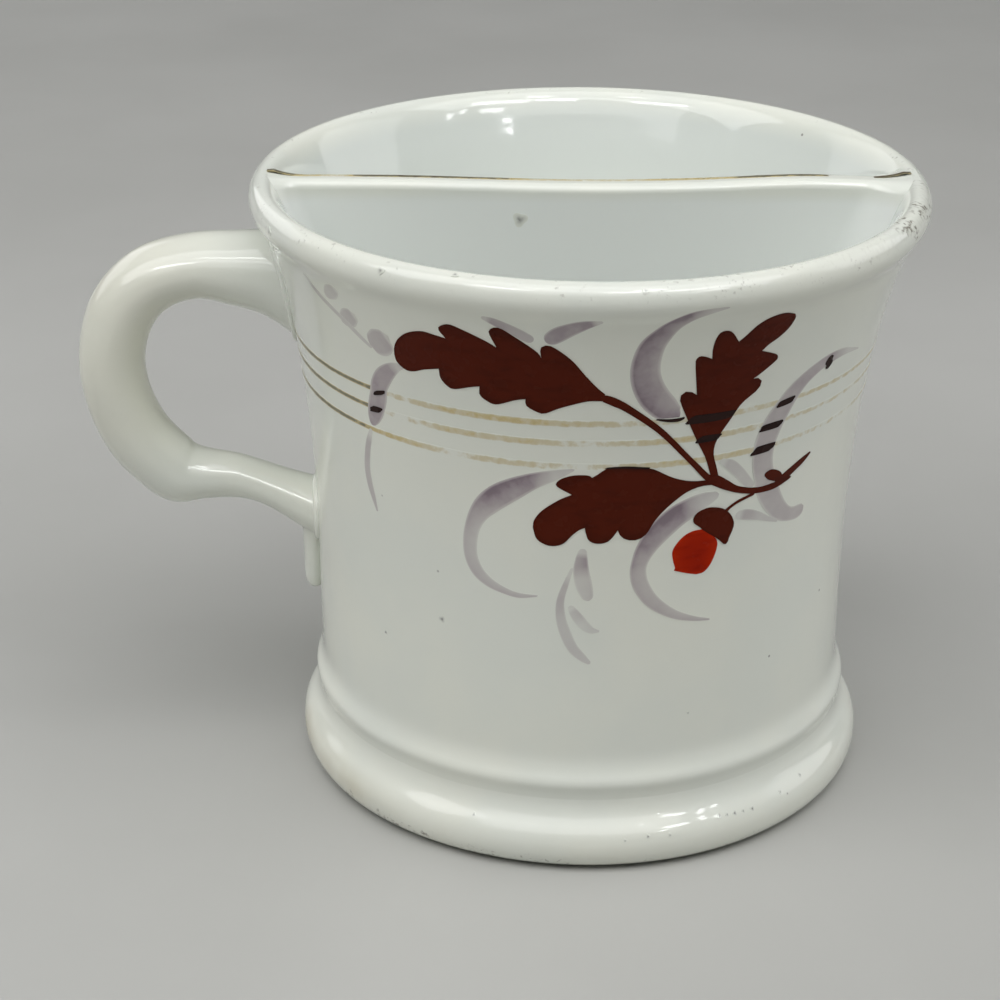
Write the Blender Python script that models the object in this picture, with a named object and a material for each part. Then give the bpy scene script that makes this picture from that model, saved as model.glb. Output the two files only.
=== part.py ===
"""Divided shaving mug of glazed porcelain.

A flared, round mug stands on a moulded foot.  A partition crosses its mouth along the
handle's line.  In front of it is the deep half for hot water and the brush.  Behind it a
half-moon shelf with drain holes carries the soap, and drips into the water below.

The clay pieces are lathe-turned, cut or lofted here as separate solids.  On the real mug
they are luted together with slip before firing; a small gap stands for each slip seam.

Frame: +Z up, the handle points along -X, the deep half faces -Y.  The origin lies on the
table, at the middle of the whole outline, so the mug's axis is at X = AXIS_X.
"""

import math

import bmesh
import bpy
from mathutils import Matrix, Vector

MM = 0.001
SEAM = 0.3
TURNS = 72

# Overall sizes, in millimetres
HEIGHT = 89.0
RIM_RADIUS = 48.0
HANDLE_REACH = 73.7
AXIS_X = (HANDLE_REACH - RIM_RADIUS) / 2

# Wall: a nearly straight waist that flares to a round lip and spreads to a bead at its base
WAIST_RADIUS = 38.8
WAIST_HEIGHT = 27.0
FLARE_LENGTH = 60.0
FLARE_SOFT = 4.2
FLARE_SHARP = 4.6
SPREAD_HEIGHT = 22.0
SPREAD_LENGTH = 10.0
SPREAD = 1.45
SPREAD_POWER = 2.5
LIP_RADIUS = 1.8
LIP_CENTRE = (RIM_RADIUS - LIP_RADIUS, HEIGHT - LIP_RADIUS)
LIP_DEPTH = 4.0
WALL_AT_LIP = 3.6
WALL_AT_FOOT = 4.4
BEAD_RADIUS = 0.9
BEAD_CENTRE = (39.05, 13.2)

# Foot: a rounded base moulding with a hollowed top, and the floor set inside it
FOOT_HEIGHT = 11.6
FOOT_RADIUS = 42.5
FOOT_BULGE_HEIGHT = 4.6
FOOT_STAND_RADIUS = 39.0
FOOT_INNER_RADIUS = 34.0
FOOT_EASE = 1.0
GROOVE_RADIUS = 39.4
COVE_SPREAD = 0.6
COVE_PULL = 2.6
FLOOR_TOP = 7.0
FLOOR_UNDER = 2.0
FLOOR_UPTURN = 0.5
FLOOR_COVE = 2.5

# Partition: its top sags in the middle and curls up to the rim at its ends
DIVIDER_THICK = 4.0
DIVIDER_TOP = HEIGHT - 1.3
DIVIDER_SAG = 0.6
DIVIDER_ROUND = 1.2
HORN_RISE = 0.9
HORN_LENGTH = 4.0
END_GAP = 0.4

# Soap shelf, with its drain holes in a quincunx
SHELF_TOP = 61.0
SHELF_THICK = 4.0
DRAIN_RADIUS = 2.5
DRAIN_CENTRE_Y = 15.5
DRAIN_SPREAD_X = 10.0
DRAIN_SPREAD_Y = 6.5

# Handle stations along its middle line, wall to wall: distance from the mug's axis,
# height, half thickness in the loop's plane and half width across it
HANDLE_STATIONS = (
    (39.0, 73.0, 9.2, 7.6),
    (44.5, 73.9, 7.1, 7.0),
    (50.0, 74.8, 5.1, 6.3),
    (56.0, 75.0, 4.6, 6.0),
    (62.4, 73.0, 4.8, 6.0),
    (66.9, 68.3, 4.9, 6.0),
    (68.9, 61.5, 4.8, 6.0),
    (68.4, 55.0, 4.8, 6.0),
    (66.0, 49.0, 4.9, 5.9),
    (61.8, 44.2, 4.8, 5.7),
    (57.0, 42.2, 3.6, 5.3),
    (52.0, 41.3, 2.9, 5.0),
    (47.4, 40.1, 3.3, 5.2),
    (43.6, 38.0, 4.3, 5.5),
    (41.3, 33.5, 3.3, 5.2),
    (40.4, 28.5, 2.1, 4.7),
    (40.1, 24.9, 1.7, 3.5),
    (39.9, 23.5, 0.9, 2.0),
)
HANDLE_LOW = 16.0
HANDLE_HIGH = 86.0

# How finely the curves are cut
WALL_STEPS = 13
INNER_STEPS = 9
LIP_STEPS = 8
BEAD_STEPS = 4
COVE_STEPS = 8
ROUND_STEPS = 6
DIVIDER_STEPS = 18
END_STEPS = 8
MOON_STEPS = 32
DRAIN_SIDES = 20
HANDLE_STEPS = 3
HANDLE_SIDES = 20
CUTTER_STEPS = 24


def clear_scene():
    """Empties the scene."""
    for old in list(bpy.data.objects):
        bpy.data.objects.remove(old)


def glaze(name, colour, roughness):
    """Glazed porcelain: a plain shader with the piece's own colour."""
    made = bpy.data.materials.new(name)
    made.use_nodes = True
    shader = made.node_tree.nodes["Principled BSDF"]
    shader.inputs["Base Color"].default_value = (*colour, 1.0)
    shader.inputs["Roughness"].default_value = roughness
    shader.inputs["Metallic"].default_value = 0.0
    return made


def place(name, mesh, material):
    """Links a mesh as a named piece standing on the mug's axis."""
    mesh.materials.append(material)
    piece = bpy.data.objects.new(name, mesh)
    piece.location = (AXIS_X * MM, 0.0, 0.0)
    bpy.context.scene.collection.objects.link(piece)
    return piece


def hide_cutter(cutter):
    """Keeps a cutter out of the model: it only shapes another piece."""
    cutter.hide_render = True
    cutter.display_type = "WIRE"
    return cutter


def spaced(low, high, count):
    """Evenly spaced values from low to high, both included."""
    return [low + (high - low) * i / count for i in range(count + 1)]


def arc(centre, radius, start, end, count):
    """Points (r, z) on a circular arc; the angles are in degrees from straight outwards."""
    turns = [math.radians(a) for a in spaced(start, end, count)]
    return [(centre[0] + radius * math.cos(a), centre[1] + radius * math.sin(a)) for a in turns]


def bezier(points, count):
    """Points (r, z) on the cubic curve of four control points, both ends included."""
    made = []
    for t in spaced(0.0, 1.0, count):
        weights = ((1 - t) ** 3, 3 * t * (1 - t) ** 2, 3 * t * t * (1 - t), t**3)
        made.append(tuple(sum(w * p[k] for w, p in zip(weights, points)) for k in (0, 1)))
    return made


def wall_radius(z):
    """Outer radius of the wall at height z."""
    flare = max(0.0, (z - WAIST_HEIGHT) / FLARE_LENGTH)
    spread = max(0.0, (SPREAD_HEIGHT - z) / SPREAD_LENGTH)
    return WAIST_RADIUS + FLARE_SOFT * flare**2 + FLARE_SHARP * flare**4 + SPREAD * spread**SPREAD_POWER


def inner_radius(z):
    """Inner radius of the wall at height z."""
    share = (z - FOOT_HEIGHT) / (HEIGHT - FOOT_HEIGHT)
    return wall_radius(z) - (WALL_AT_FOOT + (WALL_AT_LIP - WALL_AT_FOOT) * share)


def lathe(name, profile, material):
    """Turns a profile of (r, z) points about the mug's axis.

    The profile runs down the outer side first, and closes on itself or on the axis.
    """
    mesh = bpy.data.meshes.new(name)
    closed = min(r for r, _ in profile) > 0
    count = len(profile)
    edges = [(i, (i + 1) % count) for i in range(count if closed else count - 1)]
    mesh.from_pydata([(r * MM, 0.0, z * MM) for r, z in profile], edges, [])
    piece = place(name, mesh, material)
    turn = piece.modifiers.new("turn", "SCREW")
    turn.axis = "Z"
    turn.steps = turn.render_steps = TURNS
    turn.use_merge_vertices = True
    turn.merge_threshold = 0.00001
    turn.use_smooth_shade = True
    return piece


def make_wall():
    """The flared wall with its round lip; a bead runs round its base, where it meets the foot."""
    low = FOOT_HEIGHT + SEAM
    high = HEIGHT - LIP_DEPTH
    lip = arc(LIP_CENTRE, LIP_RADIUS, 180, -45, LIP_STEPS)
    outer = [(wall_radius(z), z) for z in reversed(spaced(BEAD_CENTRE[1] + BEAD_RADIUS, high, WALL_STEPS))]
    bead = arc(BEAD_CENTRE, BEAD_RADIUS, 40, -65, BEAD_STEPS)
    inner = [(inner_radius(z), z) for z in spaced(low, high, INNER_STEPS)]
    profile = lip + outer + bead + [(GROOVE_RADIUS - SEAM, low)] + inner
    return lathe("body_wall", profile, glaze("wall_glaze", (0.78, 0.80, 0.77), 0.10))


def make_foot():
    """The moulded ring that the mug stands on, with a cove up to the groove under the bead."""
    cove = bezier(
        (
            (GROOVE_RADIUS, FOOT_HEIGHT),
            (GROOVE_RADIUS + COVE_SPREAD, FOOT_HEIGHT - COVE_PULL),
            (FOOT_RADIUS, FOOT_BULGE_HEIGHT + COVE_PULL),
            (FOOT_RADIUS, FOOT_BULGE_HEIGHT),
        ),
        COVE_STEPS,
    )
    bulge = FOOT_RADIUS - FOOT_STAND_RADIUS
    quarter = [math.radians(a) for a in spaced(0, 90, ROUND_STEPS)[1:]]
    under = [
        (FOOT_STAND_RADIUS + bulge * math.cos(a), FOOT_BULGE_HEIGHT * (1 - math.sin(a))) for a in quarter
    ]
    inside = [
        (FOOT_INNER_RADIUS + FOOT_EASE, 0.0),
        (FOOT_INNER_RADIUS, FOOT_EASE),
        (FOOT_INNER_RADIUS, FLOOR_TOP + FLOOR_UPTURN),
        (FOOT_INNER_RADIUS + FLOOR_UPTURN, FLOOR_TOP + FLOOR_COVE),
        (inner_radius(FOOT_HEIGHT), FOOT_HEIGHT),
    ]
    return lathe("foot_ring", cove + under + inside, glaze("foot_glaze", (0.78, 0.79, 0.75), 0.14))


def make_floor():
    """The round floor pressed into the foot, a little above the table."""
    edge = FOOT_INNER_RADIUS - SEAM
    profile = [
        (0.0, FLOOR_TOP),
        (edge - FLOOR_COVE, FLOOR_TOP),
        (edge, FLOOR_TOP + FLOOR_UPTURN),
        (edge, FLOOR_UNDER),
        (0.0, FLOOR_UNDER),
    ]
    return lathe("floor_disc", profile, glaze("floor_glaze", (0.76, 0.77, 0.74), 0.16))


def divider_top(x, reach):
    """Height of the partition's top edge at x, when its ends are at plus and minus reach."""
    sag = DIVIDER_SAG * (1 - (x / reach) ** 2)
    horn = max(0.0, 1 - (reach - abs(x)) / HORN_LENGTH)
    return DIVIDER_TOP - sag + HORN_RISE * horn**2


def divider_outline():
    """Outline (x, z) of the partition: its ends follow the wall's inside."""
    low = SHELF_TOP - SHELF_THICK
    reach = LIP_CENTRE[0] - LIP_RADIUS - END_GAP
    right = [(inner_radius(z) - END_GAP, z) for z in spaced(low, HEIGHT - LIP_DEPTH, END_STEPS)]
    across = [reach * math.cos(a) for a in spaced(0.0, math.pi, DIVIDER_STEPS)]
    left = [(-x, z) for x, z in reversed(right)]
    return right + [(x, divider_top(x, reach)) for x in across] + left


def make_divider():
    """The partition slab across the mouth, its top edge rounded over."""
    mesh = bpy.data.meshes.new("divider")
    form = bmesh.new()
    half = DIVIDER_THICK / 2
    front = form.faces.new([form.verts.new((x * MM, -half * MM, z * MM)) for x, z in divider_outline()])
    made = bmesh.ops.extrude_face_region(form, geom=[front])["geom"]
    back = [v for v in made if isinstance(v, bmesh.types.BMVert)]
    bmesh.ops.translate(form, verts=back, vec=(0.0, DIVIDER_THICK * MM, 0.0))
    above = (HEIGHT - LIP_DEPTH / 2 - DIVIDER_SAG) * MM
    lengthwise = [
        edge
        for edge in form.edges
        if min(v.co.z for v in edge.verts) > above and abs(edge.verts[0].co.y - edge.verts[1].co.y) < half * MM
    ]
    bmesh.ops.bevel(
        form, geom=lengthwise, offset=DIVIDER_ROUND * MM, segments=3, profile=0.5, affect="EDGES"
    )
    bmesh.ops.recalc_face_normals(form, faces=form.faces)
    form.to_mesh(mesh)
    form.free()
    return place("divider", mesh, glaze("divider_glaze", (0.74, 0.76, 0.74), 0.12))


def make_drill(x, y):
    """A round cutter for one drain hole."""
    mesh = bpy.data.meshes.new("drain_cutter")
    form = bmesh.new()
    bmesh.ops.create_cone(
        form,
        cap_ends=True,
        segments=DRAIN_SIDES,
        radius1=DRAIN_RADIUS * MM,
        radius2=DRAIN_RADIUS * MM,
        depth=3 * SHELF_THICK * MM,
        matrix=Matrix.Translation((x * MM, y * MM, (SHELF_TOP - SHELF_THICK / 2) * MM)),
    )
    form.to_mesh(mesh)
    form.free()
    drill = bpy.data.objects.new("drain_cutter", mesh)
    drill.location = (AXIS_X * MM, 0.0, 0.0)
    bpy.context.scene.collection.objects.link(drill)
    return hide_cutter(drill)


def make_shelf():
    """The half-moon soap shelf behind the partition, pierced by the drain holes."""
    low = SHELF_TOP - SHELF_THICK
    radius = inner_radius(low) - END_GAP
    start = math.asin((DIVIDER_THICK / 2 + SEAM) / radius)
    turns = spaced(start, math.pi - start, MOON_STEPS)
    mesh = bpy.data.meshes.new("soap_shelf")
    form = bmesh.new()
    moon = [(radius * math.cos(a) * MM, radius * math.sin(a) * MM, low * MM) for a in turns]
    base = form.faces.new([form.verts.new(point) for point in moon])
    made = bmesh.ops.extrude_face_region(form, geom=[base])["geom"]
    top = [v for v in made if isinstance(v, bmesh.types.BMVert)]
    bmesh.ops.translate(form, verts=top, vec=(0.0, 0.0, SHELF_THICK * MM))
    bmesh.ops.recalc_face_normals(form, faces=form.faces)
    form.to_mesh(mesh)
    form.free()
    shelf = place("soap_shelf", mesh, glaze("shelf_glaze", (0.76, 0.78, 0.75), 0.12))
    for across, along in ((0, 0), (-1, -1), (1, -1), (-1, 1), (1, 1)):
        cut = shelf.modifiers.new("drain", "BOOLEAN")
        cut.operation = "DIFFERENCE"
        cut.object = make_drill(across * DRAIN_SPREAD_X, DRAIN_CENTRE_Y + along * DRAIN_SPREAD_Y)
    return shelf


def smooth_stations():
    """The handle's stations with even steps between them, on a smooth curve through all."""
    rows = [Vector(row) for row in HANDLE_STATIONS]
    rows = [2 * rows[0] - rows[1], *rows, 2 * rows[-1] - rows[-2]]
    smooth = []
    for before, here, after, beyond in zip(rows, rows[1:], rows[2:], rows[3:]):
        for t in spaced(0.0, 1.0, HANDLE_STEPS)[:-1]:
            bend = before - 2.5 * here + 2 * after - 0.5 * beyond
            twist = 0.5 * (3 * (here - after) + beyond - before)
            smooth.append(here + 0.5 * t * (after - before) + t**2 * bend + t**3 * twist)
    return [*smooth, rows[-2]]


def make_wall_cutter():
    """The wall's outer shape, one seam larger: what the handle's roots are cut to."""
    levels = spaced(HANDLE_HIGH, HANDLE_LOW, CUTTER_STEPS)
    side = [(wall_radius(z) + SEAM, z) for z in levels]
    profile = [(0.0, HANDLE_HIGH), *side, (0.0, HANDLE_LOW)]
    return hide_cutter(lathe("wall_cutter", profile, glaze("cutter", (0.5, 0.5, 0.5), 0.5)))


def make_handle():
    """The one-finger loop: oval sections carried along the stations, cut to the wall."""
    stations = smooth_stations()
    across = Vector((0.0, 1.0, 0.0))
    turns = [2 * math.pi * k / HANDLE_SIDES for k in range(HANDLE_SIDES)]
    mesh = bpy.data.meshes.new("handle")
    form = bmesh.new()
    rings = []
    for i, (x, z, thick, wide) in enumerate(stations):
        ahead = stations[min(i + 1, len(stations) - 1)]
        behind = stations[max(i - 1, 0)]
        along = Vector((behind[0] - ahead[0], 0.0, ahead[1] - behind[1])).normalized()
        outward = along.cross(across)
        centre = Vector((-x, 0.0, z))
        ring = [centre + outward * (thick * math.cos(a)) + across * (wide * math.sin(a)) for a in turns]
        rings.append([form.verts.new(point * MM) for point in ring])
    for ring, following in zip(rings, rings[1:]):
        for k in range(HANDLE_SIDES):
            n = (k + 1) % HANDLE_SIDES
            form.faces.new((ring[k], ring[n], following[n], following[k]))
    form.faces.new(list(reversed(rings[0])))
    form.faces.new(rings[-1])
    bmesh.ops.recalc_face_normals(form, faces=form.faces)
    form.to_mesh(mesh)
    form.free()
    mesh.shade_smooth()
    handle = place("handle", mesh, glaze("handle_glaze", (0.80, 0.81, 0.77), 0.10))
    cut = handle.modifiers.new("root", "BOOLEAN")
    cut.operation = "DIFFERENCE"
    cut.object = make_wall_cutter()
    return handle


clear_scene()
make_wall()
make_foot()
make_floor()
make_divider()
make_shelf()
make_handle()
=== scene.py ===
"""A divided shaving mug of white glazed porcelain, painted with an oak sprig between worn gilt lines.

Lengths are in millimetres and heights are from the table; MM turns them into Blender's metres.
"""

import bmesh
import bpy
import numpy as np
from mathutils import Matrix


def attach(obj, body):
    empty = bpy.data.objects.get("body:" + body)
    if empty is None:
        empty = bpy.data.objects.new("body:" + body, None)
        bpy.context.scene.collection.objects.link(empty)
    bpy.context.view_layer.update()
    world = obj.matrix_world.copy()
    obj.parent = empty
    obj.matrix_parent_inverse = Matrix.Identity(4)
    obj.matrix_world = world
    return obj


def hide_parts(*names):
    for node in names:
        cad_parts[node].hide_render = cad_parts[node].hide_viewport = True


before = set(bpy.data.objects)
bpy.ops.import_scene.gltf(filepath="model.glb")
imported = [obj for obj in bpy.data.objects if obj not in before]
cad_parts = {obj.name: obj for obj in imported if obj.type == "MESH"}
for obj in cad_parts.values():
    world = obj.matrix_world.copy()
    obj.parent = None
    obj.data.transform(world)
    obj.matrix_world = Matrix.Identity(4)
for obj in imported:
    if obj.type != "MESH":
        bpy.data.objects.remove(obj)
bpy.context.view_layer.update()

# Foot ring: the moulded foot that the mug stands on, turned in porcelain clay and luted on with slip.
# Clear glaze runs over it down to the dry ring that stood on the kiln shelf, and grime sits in its pits.
MM = 0.001
AXIS_X = 12.85
TURNS = 240
WALL_TOP = 89.0
FOOT_RADIUS, FOOT_BULGE = 42.5, 3.2
GROOVE_RADIUS, GROOVE_HEIGHT = 39.6, 10.5
COVE_LOW, SHOULDER = 6.6, (42.6, 7.0)
STAND_RADIUS, STAND_INNER = 39.0, 35.4
FOOT_INNER = 34.0
FOOT_TOP = [(38.5, 12.8), (39.4, 12.0), (39.57, 11.2)]
FOOT_HOLLOW = [(STAND_INNER, 0), (34.3, 1.2), (FOOT_INNER, 2.4), (FOOT_INNER, 9.0), (36.0, 11.5)]
OVAL, RIPPLE, PRESSED_OUT = 0.10, 0.04, 0.7
PRESSED_ARC, PRESSED_BAND = (-np.pi / 2, 0.8), (42.0, 30.0)
DRY_BAND, GRIME_BAND, STAIN_BAND = (0.5, 0.1), (1.2, 1.6), (3.8, 2.4)
GRIME_ARC, STAIN_ARC, STREAK_ARC = (-1.0, 0.6), (-1.12, 0.34), (-1.38, 0.08)
STAIN_REACH = (40.2, 41.8)
GLAZE_WHITE = (0.81, 0.825, 0.745, 1)
GLAZE_COOL = (0.775, 0.80, 0.735, 1)
# A darker, cooler white painted inside the mug as shade.
GLAZE_INSIDE_SHADED = (0.71, 0.745, 0.71, 1)
GRIME_BROWN = (0.13, 0.105, 0.075, 1)
# Beige of the foot's stains, also painted on the handle as warm reflection.
STAIN_AND_REFLECTION_BEIGE = (0.60, 0.56, 0.43, 1)
IRON_GREY = (0.12, 0.11, 0.10, 1)
TRUE_EDGE = 0.7


def curve_between(corners, count):
    """A cubic Bezier curve: its four corners weighted by the Bernstein polynomials at even steps."""
    t = np.linspace(0, 1, count)[:, None]
    a, b, c, d = np.asarray(corners, float)
    return (1 - t) ** 3 * a + 3 * (1 - t) ** 2 * t * b + 3 * (1 - t) * t**2 * c + t**3 * d


def walk(points):
    """How far along a line each of its points is: the sum of the straight steps before it."""
    return np.concatenate([[0], np.cumsum(np.linalg.norm(np.diff(points[:, :2], axis=0), axis=1))])


def read(points, along, steps):
    """Points of a line read at given steps along it: each coordinate is interpolated by itself."""
    return np.stack([np.interp(steps, along, axis) for axis in points.T], 1)


def rise(value, start, end):
    """0 up to start, 1 from end on and an even slope between, whichever of the two is higher."""
    return np.clip((value - start) / (end - start), 0, 1)


def bell(value, middle, spread, power=2):
    """A bell: 1 at the middle, falling with the exponential of a power of the distance in spreads."""
    return np.exp(-(((value - middle) / spread) ** power))


def glazed(outline, spacing, coats):
    """A closed outline under its glaze: even steps along it, then each point eased to a 1-2-1 mean."""
    closed = np.vstack([outline, outline[:1]])
    walked = walk(closed)
    steps = np.linspace(0, walked[-1], int(walked[-1] / spacing), endpoint=False)
    eased = read(closed, walked, steps)
    for _ in range(coats):
        eased = (np.roll(eased, 1, 0) + 2 * eased + np.roll(eased, -1, 0)) / 4
    return eased


def hand_wobble(angle, height):
    """How far the turned clay is off a true circle: an oval that grows with height, a slow ripple,
    and a swelling on the handle's side, where the wall was pressed out as the handle was luted on."""
    oval = OVAL * (height / WALL_TOP) ** 2 * np.sin(2 * angle + 0.7)
    pressed = bell(angle, *PRESSED_ARC) * bell(height, *PRESSED_BAND, 4)
    return oval + RIPPLE * np.sin(5 * angle + 0.13 * height) + PRESSED_OUT * pressed


def around(radius, angle, height):
    """Points at a radius and angle round the mug's axis; angle 0 faces front, and grows to the right."""
    radius = radius + hand_wobble(angle, height)
    return np.stack([AXIS_X + radius * np.sin(angle), -radius * np.cos(angle), height + 0 * angle], -1)


def spun(outline):
    """An outline (radius, height) carried round the mug's axis, a row of points for each of its own."""
    return around(outline[:, :1], TURN_ANGLES, outline[:, 1:])


def weave(points, round_rows, round_columns):
    """Four-sided faces between neighbours in a grid of points, joined end to end where it goes round."""
    rows, columns = points.shape[:2]
    index = np.arange(rows * columns).reshape(rows, columns)
    index = np.vstack([index, index[:1]]) if round_rows else index
    index = np.hstack([index, index[:, :1]]) if round_columns else index
    corners = [index[:-1, :-1], index[1:, :-1], index[1:, 1:], index[:-1, 1:]]
    return np.stack(corners, -1).reshape(-1, 4)


def placed(name, data):
    """A new object in the scene, at the origin, that holds a mesh, a lamp or a camera."""
    made = bpy.data.objects.new(name, data)
    bpy.context.scene.collection.objects.link(made)
    return made


def make_piece(name, points, faces, material, node=None, marks=None):
    """One finished piece on the mug's body: seams and poles closed, faces outwards, marks kept by point."""
    mesh = bpy.data.meshes.new(name)
    mesh.from_pydata(np.reshape(points, (-1, 3)) * MM, [], faces)
    for mark, amounts in (marks or {}).items():
        mesh.attributes.new(mark, "FLOAT", "POINT").data.foreach_set("value", np.ravel(amounts))
    work = bmesh.new()
    work.from_mesh(mesh)
    bmesh.ops.remove_doubles(work, verts=work.verts, dist=0.002 * MM)
    bmesh.ops.recalc_face_normals(work, faces=work.faces)
    work.to_mesh(mesh)
    work.free()
    mesh.shade_smooth()
    mesh.set_sharp_from_angle(angle=TRUE_EDGE)
    mesh.materials.append(material)
    made = placed(name, mesh)
    if node:
        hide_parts(node)
    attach(made, "root")
    return made


def feed(node, sockets):
    """Gives each socket named here, on one shader node, a value or another node's output."""
    for key, value in sockets.items():
        if isinstance(value, bpy.types.NodeSocket):
            node.id_data.links.new(value, node.inputs[key])
        else:
            node.inputs[key].default_value = value


def shade(beside, kind, sockets, **settings):
    """Adds one shader node to the tree that `beside` is in, feeds its sockets and gives its outputs."""
    made = beside.id_data.nodes.new("ShaderNode" + kind)
    for key, value in settings.items():
        setattr(made, key, value)
    feed(made, sockets)
    return made.outputs


def mixed(share, under, over):
    """The colour `over` laid on `under` by a share from 0 to 1."""
    return shade(share, "Mix", {0: share, 6: under, 7: over}, data_type="RGBA")[2]


def ramped(value, low, high, start=0.0, end=1.0):
    """A smooth step from start to end as a value goes from low to high."""
    sockets = {"Value": value, "From Min": low, "From Max": high, "To Min": start, "To Max": end}
    return shade(value, "MapRange", sockets, interpolation_type="SMOOTHSTEP")[0]


def sums(first, second, operation="MULTIPLY"):
    """One sum on two values: their product, unless another operation is named."""
    return shade(first, "Math", {0: first, 1: second}, operation=operation)[0]


def cloud(place, scale, detail=2.0):
    """Soft noise from 0 to 1 with `scale` lumps to the metre."""
    return shade(place, "TexNoise", {"Vector": place, "Scale": scale, "Detail": detail})["Fac"]


def marked(place, mark):
    """The amount of a mark that a piece's points carry."""
    return shade(place, "Attribute", {}, attribute_name=mark)["Fac"]


def new_finish(name):
    """A new material, with its surface shader and the place of each point of the piece."""
    material = bpy.data.materials.new(name)
    material.use_nodes = True
    surface = material.node_tree.nodes["Principled BSDF"]
    return material, surface, shade(surface, "TexCoord", {})["Object"]


def porcelain(name, inner=GLAZE_INSIDE_SHADED):
    """White porcelain under clear glaze: faint clouds of tint, the `inner` white where 'inside' is marked
    (painted shade inside the wall, painted light on the divider's faces), iron specks, stain and grime where
    they are marked, and a skin like orange peel that breaks the reflections a little."""
    material, surface, place = new_finish(name)
    white = mixed(ramped(cloud(place, 45.0, 3.0), 0.35, 0.65), GLAZE_WHITE, GLAZE_COOL)
    # Where 'inside' is marked the white gives way to `inner`: painted shade in the wall, painted light on the
    # divider.
    white = mixed(marked(place, "inside"), white, inner)
    cells = shade(place, "TexVoronoi", {"Vector": place, "Scale": 260.0})
    chosen = ramped(shade(place, "SeparateColor", {"Color": cells["Color"]})[0], 0.955, 0.965)
    specks = sums(ramped(cells["Distance"], 0.075, 0.035), chosen)
    white = mixed(sums(specks, 0.7), white, IRON_GREY)
    soaked = ramped(cloud(place, 130.0, 3.0), 0.25, 0.65, 0.35, 1.0)
    white = mixed(sums(marked(place, "stain"), soaked), white, STAIN_AND_REFLECTION_BEIGE)
    grime = marked(place, "grime")
    pits = sums(cloud(place, 1500.0, 3.0), sums(grime, 0.30), "ADD")
    patches = ramped(cloud(place, 170.0, 3.0), 0.46, 0.60, 0.08, 1.0)
    grime = sums(ramped(grime, 0.0, 0.5, 0.0, 0.8), patches)
    grime = sums(ramped(pits, 0.64, 0.84), grime)
    white = mixed(grime, white, GRIME_BROWN)
    gloss = ramped(cloud(place, 120.0), 0.3, 0.7, 0.045, 0.085)
    gloss = sums(gloss, sums(marked(place, "dry"), 0.6), "MAXIMUM")
    peel = shade(place, "Bump", {"Height": cloud(place, 260.0), "Strength": 0.04, "Distance": 0.0004})
    feed(surface, {"Base Color": white, "Roughness": gloss, "Normal": peel["Normal"]})
    return material, surface, place, white


TURN_ANGLES = np.linspace(-np.pi, np.pi, TURNS, endpoint=False)
cove = curve_between([
    (GROOVE_RADIUS, GROOVE_HEIGHT), (GROOVE_RADIUS, COVE_LOW), SHOULDER, (FOOT_RADIUS, FOOT_BULGE),
], 26)
quarter = np.linspace(0, np.pi / 2, 18)[:, None]
roll_under = (STAND_RADIUS, FOOT_BULGE) + np.hstack([
    (FOOT_RADIUS - STAND_RADIUS) * np.cos(quarter) ** 0.9, -FOOT_BULGE * np.sin(quarter) ** 0.9,
])
foot_outline = glazed(np.vstack([FOOT_TOP, cove, roll_under, FOOT_HOLLOW]), 0.4, 2)
foot_outline[:, 1] = np.maximum(foot_outline[:, 1], 0)
foot_radius, foot_height = foot_outline[:, :1], foot_outline[:, 1:]
foot_dry = rise(foot_height, *DRY_BAND) + 0 * TURN_ANGLES
foot_grime = bell(foot_height, *GRIME_BAND) * (foot_radius > STAND_RADIUS)
foot_grime = foot_grime * (0.35 + 0.4 * bell(TURN_ANGLES, *GRIME_ARC))
foot_stain = 0.12 + 0.5 * bell(TURN_ANGLES, *STAIN_ARC, 4) + 0.4 * bell(TURN_ANGLES, *STREAK_ARC)
foot_stain = rise(foot_radius, *STAIN_REACH) * bell(foot_height, *STAIN_BAND) * foot_stain
foot_points = spun(foot_outline)
foot_marks = {"dry": foot_dry, "grime": np.maximum(foot_grime, foot_dry), "stain": foot_stain}
make_piece("foot_ring_glazed", foot_points, weave(foot_points, True, True), porcelain("foot_glaze")[0],
           "foot_ring", foot_marks)

# Floor disc: the floor of the mug, a disc of clay pressed into the foot ring and smoothed up its sides.
# It is glazed on both faces; the upper face runs into the wall in a cove that is easy to rinse.
FLOOR_TOP, FLOOR_UNDER = 7.0, 2.0
FLOOR_EDGE = FOOT_INNER + 0.8
FLOOR_COVE = 6.0
FLOOR_DISH = (31.0, 34.4)


def floor_height(radius):
    """Height of the floor's upper face: level, then a quarter round up to the foot's inner wall."""
    climb = np.clip((radius - (FLOOR_EDGE - FLOOR_COVE)) / FLOOR_COVE, 0, 0.98)
    return FLOOR_TOP + FLOOR_COVE * (1 - np.sqrt(1 - climb**2))


floor_reach = FLOOR_EDGE * np.sin(np.linspace(0, np.pi / 2, 40))
floor_rise = FLOOR_UNDER - rise(floor_reach, *FLOOR_DISH) ** 2
floor_outline = np.vstack([
    np.stack([floor_reach, floor_height(floor_reach)], 1),
    np.stack([floor_reach, floor_rise], 1)[::-1],
])
floor_points = spun(floor_outline)
floor_points[[0, -1], :, :2] = (AXIS_X, 0)
make_piece("floor_disc_glazed", floor_points, weave(floor_points, False, True), porcelain("floor_glaze")[0],
           "floor_disc")

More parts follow.
